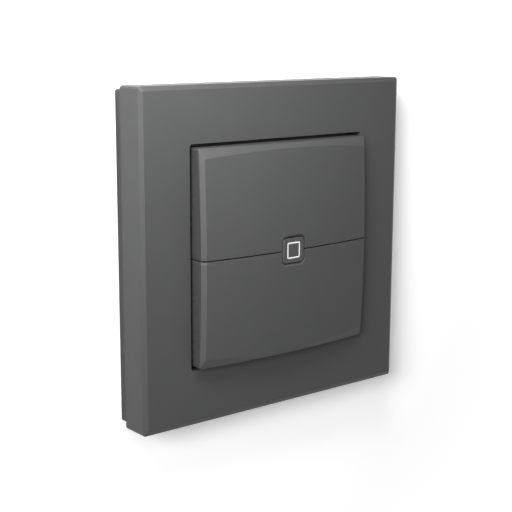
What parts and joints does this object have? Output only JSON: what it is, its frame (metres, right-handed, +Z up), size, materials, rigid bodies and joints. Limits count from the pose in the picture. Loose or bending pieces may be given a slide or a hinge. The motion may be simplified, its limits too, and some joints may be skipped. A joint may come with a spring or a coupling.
{
  "type": "wireless wall switch",
  "caption": "Square wall-mounted radio switch: bevelled frame, domed upper and lower keys, a small stop key between them, and a snap-in transmitter behind.",
  "frame": {"origin": "centre of the wall plate's back face, the face that lies on the wall", "axes": "+Y into the wall, so the front faces -Y; +X to the right as seen by the user; +Z up"},
  "size_m": [0.083, 0.0173, 0.083],
  "materials": {
    "anthracite_frame": "fine matt, anthracite",
    "anthracite_plate": "fine matt, anthracite, slightly darker",
    "anthracite_keys": "fine matt, anthracite",
    "white_inlay": "matt white",
    "black_housing": "matt black",
    "steel_cell": "satin",
    "spring_steel": "plain",
    "screw_steel": "blackened",
    "tinned_sheet": "tinned",
    "solder_mask": "green, half gloss",
    "chip_black": "matt black",
    "chip_ceramic": "unglazed",
    "switch_case": "matt black",
    "switch_plunger": "light grey",
    "led_resin": "clear resin",
    "copper_strip": "copper, tinned ends"
  },
  "bodies": {
    "switch": {"cover_frame": "anthracite_frame", "wall_plate": "anthracite_plate", "rear_housing": "black_housing", "carrier": "black_housing", "battery_door": "black_housing", "coin_cell": "steel_cell", "cell_spring_negative": "spring_steel", "cell_spring_positive": "spring_steel", "circuit_board": "solder_mask", "radio_shield": "tinned_sheet", "processor_chip": "chip_black", "quartz_crystal": "tinned_sheet", "capacitors": "chip_ceramic", "status_led": "led_resin", "antenna_strip": "copper_strip", "housing_screws": "screw_steel", "switch_body_upper": "switch_case", "switch_body_stop": "switch_case", "switch_body_lower": "switch_case"},
    "upper_key": {"upper_key": "anthracite_keys"},
    "lower_key": {"lower_key": "anthracite_keys"},
    "stop_key": {"stop_key": "anthracite_keys", "stop_symbol": "white_inlay"},
    "plunger_upper": {"plunger_upper": "switch_plunger"},
    "plunger_stop": {"plunger_stop": "switch_plunger"},
    "plunger_lower": {"plunger_lower": "switch_plunger"}
  },
  "joints": [
    {"name": "upper_key_press", "type": "hinge", "parent": "switch", "child": "upper_key", "pos_m": [0, -0.0112, 0.003], "axis": [-1, 0, 0], "range_deg": [0, 1.6], "stiffness_Nm_per_rad": 0.4, "springref_deg": -1.15},
    {"name": "lower_key_press", "type": "hinge", "parent": "switch", "child": "lower_key", "pos_m": [0, -0.0112, -0.003], "axis": [1, 0, 0], "range_deg": [0, 1.6], "stiffness_Nm_per_rad": 0.4, "springref_deg": -1.15},
    {"name": "stop_key_press", "type": "slide", "parent": "switch", "child": "stop_key", "axis": [0, 1, 0], "range_m": [0, 0.000335], "stiffness_N_per_m": 1500, "springref_m": -0.0003},
    {"name": "plunger_upper_press", "type": "slide", "parent": "switch", "child": "plunger_upper", "axis": [0, 1, 0], "range_m": [0, 0.00034]},
    {"name": "plunger_lower_press", "type": "slide", "parent": "switch", "child": "plunger_lower", "axis": [0, 1, 0], "range_m": [0, 0.00034]},
    {"name": "plunger_stop_press", "type": "slide", "parent": "switch", "child": "plunger_stop", "axis": [0, 1, 0], "range_m": [0, 0.00034]}
  ],
  "couplings": [
    {"joint": "plunger_upper_press", "follows": "upper_key_press", "m_per_rad": 0.012},
    {"joint": "plunger_lower_press", "follows": "lower_key_press", "m_per_rad": 0.012},
    {"joint": "plunger_stop_press", "follows": "stop_key_press", "ratio": 1}
  ]
}
